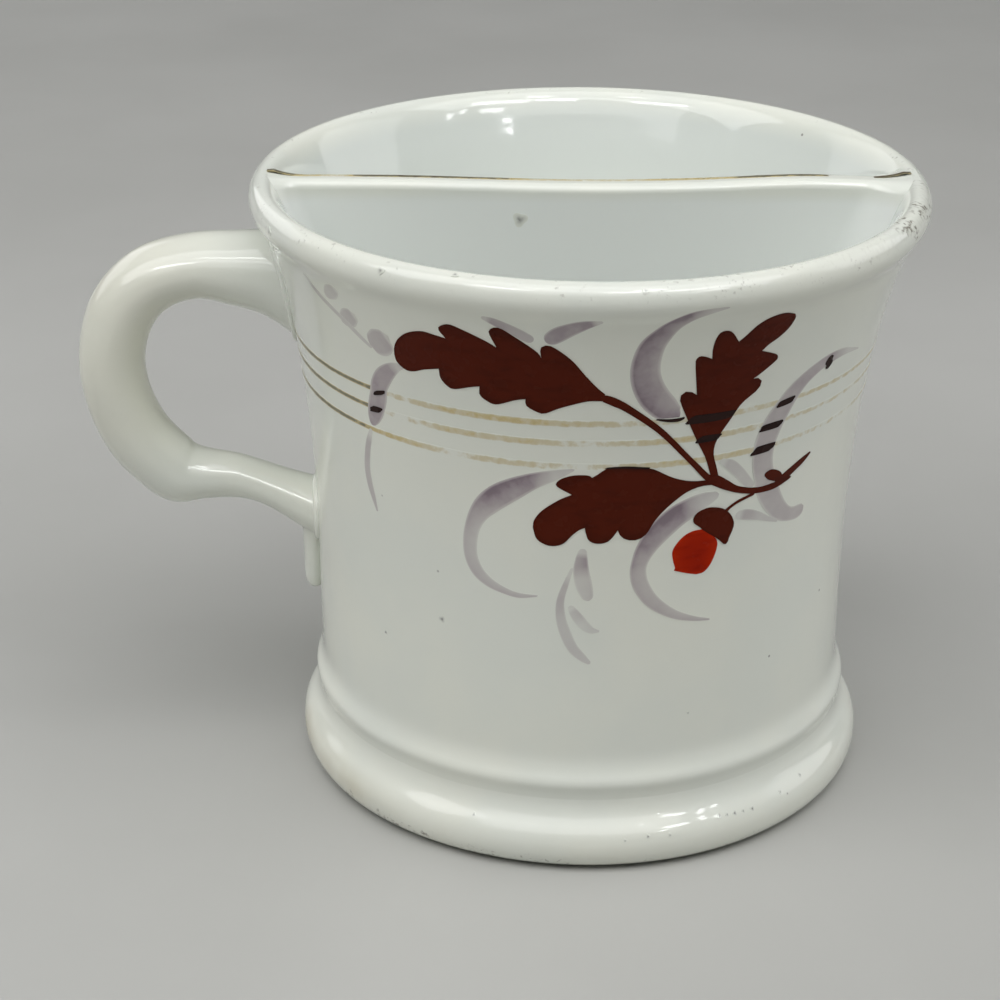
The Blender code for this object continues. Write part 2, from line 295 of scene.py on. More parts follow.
# Wall: the flared round body, turned in one with its rolled lip and the small bead above the foot.
# White porcelain under clear glaze; the lip's crest is rubbed and pitted by years of brushes and razors.
# Inside, below the lip, the wall's white is painted darker and cooler: painted shade.
BODY_RADIUS = 38.8
FLARE_START, FLARE_HEIGHT = 27.0, 60.0
FLARE_SQUARE, FLARE_FOURTH = 4.2, 4.6
LIP_CENTRE = (46.0, 86.5)
LIP_ROLL = (2.0, 2.5)
LIP_LOW, SWEEP_START = 82.3, 83.5
BEAD_RADIUS, BEAD_HEIGHT = 40.0, 13.3
BASE_START = 17.4
WALL_BOTTOM = 8.7
THICK_LOW, THICK_HIGH = 4.4, 3.6
CREST_BAND, CREST_RADIUS = (85.6, 87.2), 45.0
RUBBED_ARC = (1.15, 0.5)
SHADED_INSIDE_DEPTH, SHADED_INSIDE_BAND = 1.8, (88.0, 85.0)


def body_radius(height):
    """Radius of the plain body: straight below, then flaring with the square and the fourth power."""
    flare = np.maximum(0, (height - FLARE_START) / FLARE_HEIGHT)
    return BODY_RADIUS + FLARE_SQUARE * flare**2 + FLARE_FOURTH * flare**4


def inner_radius(height):
    """Radius of the wall inside: the body less a thickness that thins evenly to the top."""
    return body_radius(height) - np.interp(height, [WALL_BOTTOM, WALL_TOP], [THICK_LOW, THICK_HIGH])


wall_down = np.linspace(LIP_LOW, BASE_START, 100)
wall_up = np.linspace(WALL_BOTTOM, SWEEP_START, 108)
rim_sweep = curve_between([(inner_radius(SWEEP_START), SWEEP_START), (43.45, 86.0), (44.4, WALL_TOP),
                           (LIP_CENTRE[0], WALL_TOP)], 24)
lip_turn = np.radians(np.linspace(90, -45, 24))[:, None]
lip_roll = LIP_CENTRE + np.multiply(LIP_ROLL, np.hstack([np.cos(lip_turn), np.sin(lip_turn)]))
lip_under = curve_between([lip_roll[-1], (46.85, 84.1), (45.95, 83.0), (body_radius(LIP_LOW), LIP_LOW)], 16)
base_spread = curve_between([
    (BODY_RADIUS, BASE_START), (BODY_RADIUS, 15.3), (39.2, 14.4), (BEAD_RADIUS, BEAD_HEIGHT),
], 20)
bead_under = curve_between([
    (BEAD_RADIUS, BEAD_HEIGHT), (40.45, 12.68), (GROOVE_RADIUS, 11.9), (GROOVE_RADIUS, GROOVE_HEIGHT),
], 14)
wall_outline = np.vstack([
    lip_roll,
    lip_under[1:-1],
    np.stack([body_radius(wall_down), wall_down], 1),
    base_spread[1:],
    bead_under[1:],
    [(GROOVE_RADIUS, 9.3), (38.7, WALL_BOTTOM)],
    np.stack([inner_radius(wall_up), wall_up], 1),
    rim_sweep[1:-1],
])
wall_outline = glazed(wall_outline, 0.5, 2)
wall_radius, wall_height = wall_outline[:, :1], wall_outline[:, 1:]
lip_worn = 0.22 + 0.42 * bell(TURN_ANGLES, *RUBBED_ARC)
lip_worn = rise(wall_height, *CREST_BAND) * (wall_radius > CREST_RADIUS) * lip_worn
# The inner face below the lip is marked 'inside' for the darker glaze: painted shade.
wall_inside_shade = rise(body_radius(wall_height) - wall_radius, 0, SHADED_INSIDE_DEPTH)
wall_inside_shade = wall_inside_shade * rise(wall_height, *SHADED_INSIDE_BAND) + 0 * TURN_ANGLES
wall_points = spun(wall_outline)
make_piece("body_wall_glazed", wall_points, weave(wall_points, True, True), porcelain("wall_glaze")[0],
           "body_wall", {"grime": lip_worn, "inside": wall_inside_shade})

# Divider: the partition across the mouth, a slab of clay luted to the wall in line with the handle.
# Its top edge is rounded and its ends sweep up into the lip; slip fills the corners where it meets the wall.
# Below the crest the divider's faces are painted a lighter white, as painted light.
DIVIDER_HALF = 2.0
DIVIDER_BOTTOM, DIVIDER_TOP = 57.0, 87.6
DIVIDER_ROUND = 1.2
DIVIDER_LET_IN = 0.7
DIVIDER_LIT_WHITE = (0.85, 0.88, 0.845, 1)
SLIP_REACH, SLIP_DEPTH = (3.2, 6.0), (2.2, 3.6)
SLIP_FADE = 16.0
CREST_SAG, CREST_SWELL, CREST_HORN = 0.55, 0.35, 0.75
SAG_HALF, SWELL_ARC, HORN_REACH = 32.0, (30.0, 9.0), (40.0, 44.4)
DIVIDER_LIT_BAND = (86.6, 85.1)


def mouth_radius(height):
    """Radius of the mouth at a height: the wall inside, then the sweep that opens out to the lip."""
    swept = np.interp(height, rim_sweep[:, 1], rim_sweep[:, 0])
    return np.where(height < SWEEP_START, inner_radius(height), swept)


def divider_crest(across):
    """Height of the divider's top edge: a shallow sag, a swell to the right, where the slab was cut by hand,
    and a horn where each end climbs to the lip."""
    off = np.abs(across)
    sag = CREST_SAG * np.sin(np.pi / 2 * rise(off, 0, SAG_HALF)) ** 2
    swell = CREST_SWELL * bell(across, *SWELL_ARC)
    return DIVIDER_TOP + sag + swell + CREST_HORN * rise(off, *HORN_REACH) ** 2


def divider_swell(across, height):
    """How much thicker slip makes the divider near the wall: a concave fillet, fuller at the right end,
    that thins out downwards."""
    reach, depth = (np.where(across < 0, *each) for each in (SLIP_REACH, SLIP_DEPTH))
    gap = np.clip(1 - (mouth_radius(height) - np.abs(across)) / reach, 0, 1)
    return depth * gap**2.2 * rise(height, DIVIDER_BOTTOM, DIVIDER_BOTTOM + SLIP_FADE) ** 2


face_depth = np.linspace(1, 0, 30) ** 1.5
edge_turn = np.linspace(0, np.pi / 2, 10)[1:]
flat = np.linspace(-1, 1, 7)[1:-1] * (DIVIDER_HALF - DIVIDER_ROUND)
span = np.sin(np.linspace(-np.pi / 2, np.pi / 2, 181))[:, None]
crest = divider_crest(span * HORN_REACH[1])
face_top = crest - DIVIDER_ROUND
face_height = DIVIDER_BOTTOM + (face_top - DIVIDER_BOTTOM) * (1 - face_depth)[None]
edge_out = DIVIDER_HALF - DIVIDER_ROUND * (1 - np.cos(edge_turn))
half_side = np.concatenate([0 * face_depth + DIVIDER_HALF, edge_out])
half_height = np.hstack([face_height, face_top + DIVIDER_ROUND * np.sin(edge_turn)[None]])
loop_side = np.concatenate([-half_side, flat, half_side[::-1]])[None]
loop_height = np.hstack([half_height, crest + 0 * flat[None], half_height[:, ::-1]])
loop_across = span * (mouth_radius(loop_height) + DIVIDER_LET_IN)
loop_y = loop_side * (1 + divider_swell(loop_across, loop_height) / DIVIDER_HALF)
divider_points = np.stack([AXIS_X + loop_across, loop_y, loop_height], -1)
divider_ends = divider_points[[0, -1]] * (1, 0, 1)
divider_points = np.concatenate([divider_ends[:1], divider_points, divider_ends[1:]])
# The faces below the crest are marked 'inside' for the lighter white: painted light.
divider_lit_marks = {"inside": rise(divider_points[..., 2], *DIVIDER_LIT_BAND)}
make_piece("divider_glazed", divider_points, weave(divider_points, False, True),
           porcelain("divider_glaze", DIVIDER_LIT_WHITE)[0], "divider", divider_lit_marks)

# Soap shelf: the half-moon rest for the soap behind the divider, with five drain holes cut in the clay.
# It is luted to wall and divider, so its upper face turns up along them, and the glaze rounds its holes.
SHELF_TOP, SHELF_THICK = 61.0, 4.0
SHELF_BACK = 1.2
SHELF_LET_IN = 0.8
SHELF_COVE, SHELF_TURN_UP = 3.0, 1.2
SHELF_RAYS, SHELF_RINGS = 220, 66
DRAIN_RADIUS, DRAIN_REACH, DRAIN_SINK, DRAIN_EASE = 2.5, 9.0, 0.5, 0.8
DRAINS = np.array([(0, 15.5), (-10, 9.0), (10, 9.0), (-10, 22.0), (10, 22.0)])

shelf_turn = np.linspace(0, np.pi, SHELF_RAYS)[:, None]
shelf_share = np.linspace(0, 1, SHELF_RINGS)[None]
shelf_rim = inner_radius(SHELF_TOP) + SHELF_LET_IN
shelf_reach = np.sqrt(shelf_rim**2 - (SHELF_BACK * np.cos(shelf_turn)) ** 2)
shelf_reach = shelf_reach - SHELF_BACK * np.sin(shelf_turn)
shelf_plan = np.stack([
    shelf_share * shelf_reach * np.cos(shelf_turn),
    SHELF_BACK + shelf_share * shelf_reach * np.sin(shelf_turn),
], -1)
shelf_faces = weave(shelf_plan, False, False)
shelf_plan = shelf_plan.reshape(-1, 2)
from_drain = np.linalg.norm(shelf_plan[:, None] - DRAINS[None], axis=2)
face_middle = shelf_plan[shelf_faces].mean(1)
open_face = (np.linalg.norm(face_middle[:, None] - DRAINS[None], axis=2) < DRAIN_RADIUS).any(1)
on_edge = np.intersect1d(np.unique(shelf_faces[open_face]), np.unique(shelf_faces[~open_face]))
own_drain = DRAINS[from_drain[on_edge].argmin(1)]
edge_aim = (shelf_plan[on_edge] - own_drain) / from_drain[on_edge].min(1)[:, None]
shelf_plan[on_edge] = own_drain + DRAIN_RADIUS * edge_aim
to_wall = np.clip(shelf_rim - SHELF_LET_IN - np.linalg.norm(shelf_plan, axis=1), 0, SHELF_COVE)
to_divider = np.clip(shelf_plan[:, 1] - DIVIDER_HALF, 0, SHELF_COVE)
shelf_cove = (1 - to_wall / SHELF_COVE) ** 2 + (1 - to_divider / SHELF_COVE) ** 2
off_drain = np.clip(from_drain.min(1) - DRAIN_RADIUS, 0, DRAIN_REACH)
shelf_sunk = DRAIN_SINK * np.exp(-off_drain / DRAIN_EASE)
shelf_top = SHELF_TOP + SHELF_TURN_UP * np.minimum(shelf_cove, 1.4) - shelf_sunk
shelf_points = np.column_stack([AXIS_X + shelf_plan[:, 0], shelf_plan[:, 1], shelf_top])
shelf_faces = np.unique(shelf_faces[~open_face], axis=0)
soap_shelf = make_piece("soap_shelf_glazed", shelf_points, shelf_faces, porcelain("shelf_glaze")[0],
                        "soap_shelf")
slab = soap_shelf.modifiers.new("clay", "SOLIDIFY")
slab.thickness, slab.offset = SHELF_THICK * MM, -1

# Handle: the one-finger loop, rolled in clay and luted to the wall above and below, with welts of slip.
# Its upper root flares, its heel turns back, and a tail of clay is pressed down the wall. The glaze eases
# every corner, and a warm beige is painted over the outside and top of the loop as the warm reflection its
# glaze picks up there.
HANDLE_PATH = [
    (36.5, 71.2, 9.0, 8.2), (39.2, 72.2, 8.1, 7.7), (42.3, 73.2, 7.0, 7.2), (45.5, 74.05, 6.15, 6.7),
    (50.0, 74.6, 5.4, 6.3), (56.0, 74.95, 4.65, 6.0), (62.4, 73.0, 4.8, 6.0), (66.9, 68.3, 4.9, 6.0),
    (68.9, 61.5, 4.8, 6.0), (68.4, 55.0, 4.8, 5.9), (66.0, 49.0, 4.9, 5.7), (62.6, 44.9, 4.9, 5.3),
    (59.8, 42.8, 4.9, 4.9), (56.4, 42.4, 3.8, 4.4), (52.0, 42.1, 3.3, 3.9), (48.6, 41.3, 2.95, 3.9),
    (45.5, 40.1, 3.0, 4.2), (42.3, 38.6, 3.5, 4.7), (39.5, 37.3, 4.0, 5.2), (37.0, 36.2, 4.2, 5.4),
]
TAIL_PATH = [
    (40.3, 37.0, 1.7, 3.0), (40.3, 32.5, 1.7, 2.8), (40.3, 28.5, 1.65, 2.5), (40.3, 25.6, 1.6, 2.2),
    (40.1, 24.4, 1.3, 1.8), (39.9, 23.8, 0.7, 1.0),
]
ROOT_LET_IN = 2.4
WELT_RADIUS = 0.62
CLAY_GRAIN, GLAZE_EASE = 0.3, 36
WARM_TINT_START, WARM_TINT_FULL = (-28.0, 42.0), (-50.0, 54.0)
WARM_REFLECTION_TINT = 0.28


def flowing(points, count):
    """A Catmull-Rom curve through given points, read at even steps of length in its first two axes."""
    knots = np.asarray(points, float)
    knots = np.vstack([2 * knots[0] - knots[1], knots, 2 * knots[-1] - knots[-2]])
    t = np.linspace(0, 1, 12, endpoint=False)[None, :, None]
    a, b, c, d = (knots[k : len(knots) - 3 + k, None] for k in range(4))
    run = 2 * b + (c - a) * t + (2 * a - 5 * b + 4 * c - d) * t**2 + (3 * b - a - 3 * c + d) * t**3
    run = np.vstack([run.reshape(-1, knots.shape[1]) / 2, knots[-2:-1]])
    walked = walk(run)
    return read(run, walked, np.linspace(0, walked[-1], count))


def unit(vectors):
    """Vectors brought to a length of 1."""
    return vectors / np.linalg.norm(vectors, axis=-1, keepdims=True)


def rolled(path, count):
    """A roll of clay along (out from the axis, height, half thickness, half width), flat at both ends.
    It is held back from the inside of the wall. The second array is how far each point is off the wall."""
    run = flowing(path, count)
    along = unit(np.gradient(run[:, :2], axis=0))
    run = np.vstack([run[:1] * (1, 1, 0, 0), run, run[-1:] * (1, 1, 0, 0)])
    along = np.vstack([along[:1], along, along[-1:]])
    ring = np.linspace(0, 2 * np.pi, 64, endpoint=False)[None]
    swing, side = run[:, 2:3] * np.cos(ring), run[:, 3:4] * np.sin(ring)
    out, height = run[:, :1] - along[:, 1:] * swing, run[:, 1:2] + along[:, :1] * swing
    radius, angle = np.hypot(out, side), np.arctan2(-out, -side)
    wall = body_radius(height) + hand_wobble(angle, height)
    held = np.maximum(radius, wall - ROOT_LET_IN) / np.maximum(radius, 0.1)
    return np.stack([AXIS_X - out * held, side * held, height], -1), radius - wall


def welt(points, off_wall):
    """A thread of slip along a roll's joint, where each line of the roll first leaves the wall."""
    column = np.arange(points.shape[1])
    first = (off_wall > 0).argmax(0)
    inner, outer = off_wall[first - 1, column], off_wall[first, column]
    share = (inner / (inner - outer))[:, None]
    joint = points[first - 1, column] * (1 - share) + points[first, column] * share
    aim = unit(np.roll(joint, -1, 0) - np.roll(joint, 1, 0))
    away = (joint - (AXIS_X, 0, 0)) * (1, 1, 0)
    away = unit(away - (away * aim).sum(1)[:, None] * aim)
    turn = np.linspace(0, 2 * np.pi, 10, endpoint=False)[None, :, None]
    thread = away[:, None] * np.cos(turn) + np.cross(aim, away)[:, None] * np.sin(turn)
    return joint[:, None] + WELT_RADIUS * thread


loop_points, loop_off = rolled(HANDLE_PATH, 260)
tail_points = rolled(TAIL_PATH, 60)[0]
handle_points = np.vstack([loop_points.reshape(-1, 3), tail_points.reshape(-1, 3)])
handle_faces = np.vstack([weave(loop_points, False, True), weave(tail_points, False, True) + loop_off.size])
handle_glaze, surface, place, white = porcelain("handle_glaze")
# The warm beige laid on the outside and top of the loop is painted reflection.
along = shade(place, "SeparateXYZ", {0: place})
held = ramped(along["X"], WARM_TINT_START[0] * MM, WARM_TINT_FULL[0] * MM, 0.0, WARM_REFLECTION_TINT)
held = sums(held, ramped(along["Z"], WARM_TINT_START[1] * MM, WARM_TINT_FULL[1] * MM))
feed(surface, {"Base Color": mixed(held, white, STAIN_AND_REFLECTION_BEIGE)})
handle = make_piece("handle_glazed", handle_points, handle_faces, handle_glaze, "handle")
luting = handle.modifiers.new("luting", "REMESH")
luting.mode, luting.voxel_size, luting.use_smooth_shade = "VOXEL", CLAY_GRAIN * MM, True
easing = handle.modifiers.new("glaze", "SMOOTH")
easing.factor, easing.iterations = 0.5, GLAZE_EASE
welt_points = np.stack([welt(loop_points, loop_off), welt(loop_points[::-1], loop_off[::-1])])
welt_faces = weave(welt_points[0], True, True)
make_piece("handle_welts", welt_points, np.vstack([welt_faces, welt_faces + welt_points[0, ..., 0].size]),
           handle_glaze)

# Oak leaves: three lobed leaves painted on the front in dark red-brown enamel over the glaze.
# Each is a thin coat fired onto the wall, flat in colour, a little deeper along its margin and brush lines.
SCROLL_RADIUS = 40.0
COAT_SINK = 0.06
LEAF_LIFT = 0.06
LEAF_RED = (0.085, 0.0115, 0.0040, 1)
LEAF_DEEP = (0.055, 0.0080, 0.0032, 1)
SPINE_STEPS, LOBE_STEPS, RIB_STEPS = 200, 22, 8

on_front = (wall_outline[:, 0] > body_radius(wall_outline[:, 1]) - 1) & (wall_outline[:, 1] > BASE_START)
wall_front = wall_outline[on_front & (wall_outline[:, 1] < LIP_CENTRE[1])][::-1]


def on_wall(plan, lift):
    """Points of a flat plan (u along the wall at SCROLL_RADIUS from the front, v height) laid on the wall."""
    angle, height = plan[..., 0] / SCROLL_RADIUS, plan[..., 1]
    return around(np.interp(height, wall_front[:, 1], wall_front[:, 0]) + lift, angle, height)


def coat(plan, lift, mark, place=on_wall, closed=False):
    """A closed coat of paint: the plan lifted above the glaze and let into it, joined round its edge.
    A plan that goes right round the mug joins its last row to its first."""
    skin = np.concatenate([place(plan, lift), place(plan, -COAT_SINK)[:, ::-1]], 1)
    rows, columns = skin.shape[:2]
    faces = weave(skin, closed, True)
    if not closed:
        near = np.arange(columns // 2 - 1)
        ends = np.stack([near, near + 1, columns - 2 - near, columns - 1 - near], 1)
        faces = np.vstack([faces, ends, ends + (rows - 1) * columns])
    return skin.reshape(-1, 3), faces, np.concatenate([mark, mark[:, ::-1]], 1).ravel()


def painted(name, coats, material):
    """Several coats of one paint as one piece, with its load of colour kept by point."""
    starts = np.cumsum([0] + [len(points) for points, _, _ in coats])
    faces = np.vstack([face + start for (_, face, _), start in zip(coats, starts)])
    points, load = np.vstack([c[0] for c in coats]), np.concatenate([c[2] for c in coats])
    return make_piece(name, points, faces, material, marks={"load": load})


def margin(lobes, stations):
    """A margin of smooth lobes, each from the sharp notch where the one before it ended, and where on the
    midrib each of its points belongs."""
    starts = [[]] + [lobe[-1:] for lobe in lobes[:-1]]
    edge = np.vstack([flowing(start + lobe, LOBE_STEPS) for start, lobe in zip(starts, lobes)])
    steps = [np.linspace(a, b, LOBE_STEPS) for a, b in zip(stations[:-1], stations[1:])]
    return edge, np.concatenate(steps) + np.linspace(0, 1e-6, len(edge))


def blade(midrib, upper, upper_stations, lower, lower_stations):
    """A leaf's plan: ribs run from each point of the midrib out to the upper and the lower margin.
    The mark is 0 on the midrib and 1 on the margins."""
    spine = flowing(midrib, SPINE_STEPS)
    edges = [margin(upper, upper_stations), margin(lower, lower_stations)]
    where = np.unique(np.concatenate([edge[1] for edge in edges]))
    middle = read(spine, np.linspace(0, 1, SPINE_STEPS), where)
    rims = [read(edge, at, where) for edge, at in edges]
    share = np.linspace(0, 1, RIB_STEPS)[None, :, None]
    halves = [middle[:, None] + (rim - middle)[:, None] * share for rim in rims]
    plan = np.concatenate([halves[0][:, ::-1], halves[1][:, 1:]], 1)
    return plan, np.abs(np.linspace(-1, 1, plan.shape[1]))[None] + 0 * plan[..., 0]


left_leaf = blade(
    [(0.9, 72.2), (-3, 73.9), (-8, 75.2), (-14, 75.9), (-20, 76.2), (-25.9, 74.8)],
    [
        [(0.9, 72.7), (0, 73.6), (-1.45, 75.45), (-3, 77.7), (-4.8, 79.4), (-5.8, 79.9), (-6.6, 79.4),
         (-6.55, 77.8)],
        [(-7.05, 78.8), (-9.25, 80.65), (-11.1, 82), (-12.2, 81.7), (-12.4, 80.9), (-11.7, 78.9)],
        [(-13.2, 79.85), (-15.9, 81.1), (-17.3, 81.5), (-18.5, 80.9), (-18.6, 80.25), (-17.9, 79.2)],
        [(-19.25, 79.4), (-20.8, 79.6), (-22.4, 79.2), (-23.8, 78.4), (-25, 77.2), (-25.7, 75.9),
         (-25.9, 74.8)],
    ],
    [0, 0.25, 0.36, 0.6, 1],
    [
        [(0.9, 71.6), (-0.1, 71.65), (-1.55, 71.5), (-4.45, 70.45), (-6.35, 69.5), (-7.4, 69.7),
         (-8.6, 70.5), (-8.65, 71.5)],
        [(-10.1, 71.1), (-12.3, 70.2), (-13.4, 70.45), (-14.4, 71.3), (-14.35, 72.6)],
        [(-15.5, 72.3), (-17.8, 71.55), (-18.8, 71.9), (-19.5, 72.9), (-19.55, 74.25)],
        [(-21.75, 73.6), (-23.1, 73), (-24.25, 72.8), (-25.2, 73.2), (-25.8, 73.9), (-25.9, 74.8)],
    ],
    [0, 0.24, 0.46, 0.66, 1],
)
upper_leaf = blade(
    [(16.4, 58.1), (15.4, 61.4), (15.2, 64.5), (15.6, 68), (16.3, 72), (17.6, 76), (20, 79.8),
     (23.3, 82)],
    [
        [(15.9, 58.1), (14.6, 61.75), (13.1, 64.6), (11.5, 68), (10.25, 70.9), (10.2, 71.9),
         (10.6, 72.4), (11.6, 72.25), (12.25, 71.75)],
        [(12, 73.25), (11.5, 76.25), (11.45, 77.25), (11.9, 77.7), (12.75, 77.45), (13.45, 77.05)],
        [(13.3, 78.5), (13.4, 80), (13.8, 81), (14.6, 81.2), (15.4, 80.75), (16.45, 79.2)],
        [(17.25, 80), (18.5, 81.4), (20, 82.25), (21.75, 82.5), (23.3, 82)],
    ],
    [0, 0.33, 0.52, 0.68, 1],
    [
        [(17.0, 58.1), (16.3, 60.3), (15.65, 62.5), (16, 64.6), (17.5, 67.25), (18.75, 69.4),
         (20.6, 70.9), (21.1, 71.9), (20.75, 72.75), (19.6, 72.9)],
        [(20.5, 73.4), (22.4, 74.9), (22.7, 75.45), (22.25, 76.1), (20, 77.1)],
        [(20.75, 77.9), (22, 78.75), (23.1, 79.9), (23.6, 81.3), (23.3, 82)],
    ],
    [0, 0.46, 0.66, 1],
)
lower_leaf = blade(
    [(16.3, 57.9), (12, 58), (8.5, 57.7), (5, 56.9), (1, 56), (-3, 54.6), (-8.1, 52)],
    [
        [(16.3, 58.3), (13, 58.55), (10.3, 59.45), (7.6, 61), (6.05, 61.35), (3.95, 61.5),
         (2.1, 61.65), (1.2, 61.2), (0, 60.2), (-0.35, 60)],
        [(-0.9, 60.35), (-2.7, 60.3), (-4.25, 59.75), (-5, 59), (-4.7, 58.4), (-2.9, 57.35)],
        [(-4.25, 56.7), (-5.75, 55.65), (-7.1, 54.45), (-7.95, 53.1), (-8.1, 52)],
    ],
    [0, 0.48, 0.62, 1],
    [
        [(16.3, 57.5), (14.25, 57.55), (12.4, 57), (10.9, 55.95), (9.4, 54.6), (8.2, 53.1),
         (7.3, 51.4), (6.5, 50.65), (5.45, 50.35), (4.25, 50.6), (3.5, 51.3), (3.25, 52)],
        [(2.6, 50.95), (1.8, 50.2), (0.45, 50), (-0.6, 50.5), (-1, 51.6), (-1.15, 52.4)],
        [(-1.95, 52), (-2.9, 51.1), (-3.95, 49.9), (-5.15, 49.45), (-6.35, 49.55), (-7.6, 50.35),
         (-8.1, 52)],
    ],
    [0, 0.4, 0.6, 1],
)


def enamel(name, thin, deep):
    """Opaque overglaze enamel: deeper at its margins and along soft brush lines, with a faint skin."""
    material, surface, place = new_finish(name)
    brush = shade(place, "Mapping", {"Vector": place, "Rotation": (0, 0.5, 0), "Scale": (1, 1, 3)})[0]
    depth = sums(ramped(marked(place, "load"), 0.72, 1.0), 0.6)
    depth = sums(depth, ramped(cloud(brush, 240.0, 3.0), 0.45, 0.75, 0.0, 0.6), "ADD")
    gloss = ramped(cloud(place, 500.0), 0.3, 0.7, 0.18, 0.30)
    skin = shade(place, "Bump", {"Height": cloud(brush, 900.0), "Strength": 0.08, "Distance": 0.0001})
    feed(surface, {"Base Color": mixed(depth, thin, deep), "Specular IOR Level": 0.05,
                   "Roughness": gloss, "Normal": skin["Normal"]})
    return material


leaf_enamel = enamel("leaf_enamel", LEAF_RED, LEAF_DEEP)
painted("oak_leaves", [coat(plan, LEAF_LIFT, mark) for plan, mark in (left_leaf, upper_leaf, lower_leaf)],
        leaf_enamel)

# Oak twig: the stems that carry the leaves, drawn in the same enamel with the point of the brush.
# One long stem comes down from the left leaf, and the twig ends in a spur, a side shoot and a bud.
TWIG_LIFT, TWIG_STEP = 0.075, 0.004


def stroke(points, count=90, across=7):
    """A brush stroke's plan: a curve through (u, v, half width), as wide to both sides, rounded at its ends.
    The mark is the share of the way along, and the second array is -1 to 1 across."""
    run = flowing(points, count)
    aim = unit(np.gradient(run[:, :2], axis=0))
    walked = walk(run)
    from_end = np.minimum(walked / max(run[0, 2], 0.1), (walked[-1] - walked) / max(run[-1, 2], 0.1))
    half = np.maximum(run[:, 2], 0.02) * np.sqrt(np.clip(1 - (1 - np.minimum(from_end, 1)) ** 2, 0, 1))
    side = np.linspace(-1, 1, across)[None, :, None]
    plan = run[:, None, :2] + side * half[:, None, None] * np.stack([-aim[:, 1], aim[:, 0]], 1)[:, None]
    return plan, (walked / walked[-1])[:, None] + 0 * side[..., 0], side[..., 0] + 0 * walked[:, None]


TWIG_STROKES = [
    [(0.5, 72.2, 0.5), (2, 71.5, 0.6), (4, 70.2, 0.5), (8, 66.8, 0.42), (11.75, 62.6, 0.38),
     (13.4, 60.75, 0.4), (15, 58.95, 0.45), (16.2, 58.1, 0.5)],
    [(15.2, 58.1, 0.3), (16.2, 58.2, 0.75), (17.9, 57.2, 0.7), (19.7, 56.15, 0.5), (21.8, 55.4, 0.45),
     (23.9, 55.0, 0.45), (26.35, 54.95, 0.5), (28.5, 55.2, 0.3), (29.7, 55.4, 0.12)],
    [(26, 54.9, 0.3), (27.9, 55.6, 0.6), (30, 56.55, 0.56), (31.8, 57.3, 0.45), (33.3, 58.0, 0.12)],
    [(24.4, 57.2, 0.2), (25.2, 57.0, 0.7), (26.1, 56.65, 0.8), (27, 56.2, 0.7), (27.7, 55.8, 0.3)],
    [(23, 54.7, 0.2), (20.6, 54.15, 0.2), (19.25, 53.55, 0.2), (18.5, 53.0, 0.25)],
]
twigs = [stroke(each) for each in TWIG_STROKES]
twig_coats = [coat(plan, TWIG_LIFT + TWIG_STEP * k, np.abs(side))
              for k, (plan, _, side) in enumerate(twigs)]
painted("oak_twig", twig_coats, leaf_enamel)

# Acorn: a nut in bright orange-red enamel, thin and glowing, under a cup in the leaves' red-brown.
# The cup is painted over the top of the nut; a hair of a stalk joins it to the twig.
NUT_LIFT, CUP_LIFT = 0.055, 0.09
NUT_ORANGE = (0.43, 0.019, 0.001, 1)
NUT_RED = (0.27, 0.0095, 0.001, 1)
nut = blade(
    [(15.2, 50.9), (14.4, 48), (14.6, 44.1)],
    [
        [(15.2, 50.9), (13.65, 50.8), (12.4, 50.2), (11.35, 49), (10.95, 47.95), (11.15, 46.6),
         (11.5, 45.5), (11.35, 45.15)],
        [(13.05, 44.55), (14.6, 44.1)],
    ],
    [0, 0.75, 1],
    [
        [(15.2, 50.9), (16.4, 50), (17.4, 49), (17.65, 47.95), (17.3, 46.4), (16.65, 45.05),
         (15.75, 44.2), (14.6, 44.1)],
    ],
    [0, 1],
)
cup = blade(
    [(13.65, 52.65), (15.6, 52.1), (17.6, 50.8), (19, 47.9)],
    [
        [(13.65, 52.65), (13.95, 53.4), (14.85, 53.9), (16.05, 54.05), (17.6, 53.7), (18.65, 53.1),
         (19.55, 52.05), (20.05, 50.8), (19.85, 49.75), (19.4, 48.7), (19.25, 47.95), (19, 47.9)],
    ],
    [0, 1],
    [
        [(13.65, 52.65), (13.8, 52.05), (14.55, 51.4), (15.75, 50.35), (17, 49.45), (18.05, 48.55),
         (18.65, 47.95), (19, 47.9)],
    ],
    [0, 1],
)
nut_down = np.linspace(-1, 1, len(nut[0]))[:, None]
nut_load = 0.72 + 0.28 * (1 - nut[1] ** 2) * (1 - nut_down**4)
nut_enamel = enamel("nut_enamel", NUT_ORANGE, NUT_RED)
painted("acorn_nut", [coat(nut[0], NUT_LIFT, nut_load)], nut_enamel)
painted("acorn_cup", [coat(cup[0], CUP_LIFT, cup[1])], leaf_enamel)

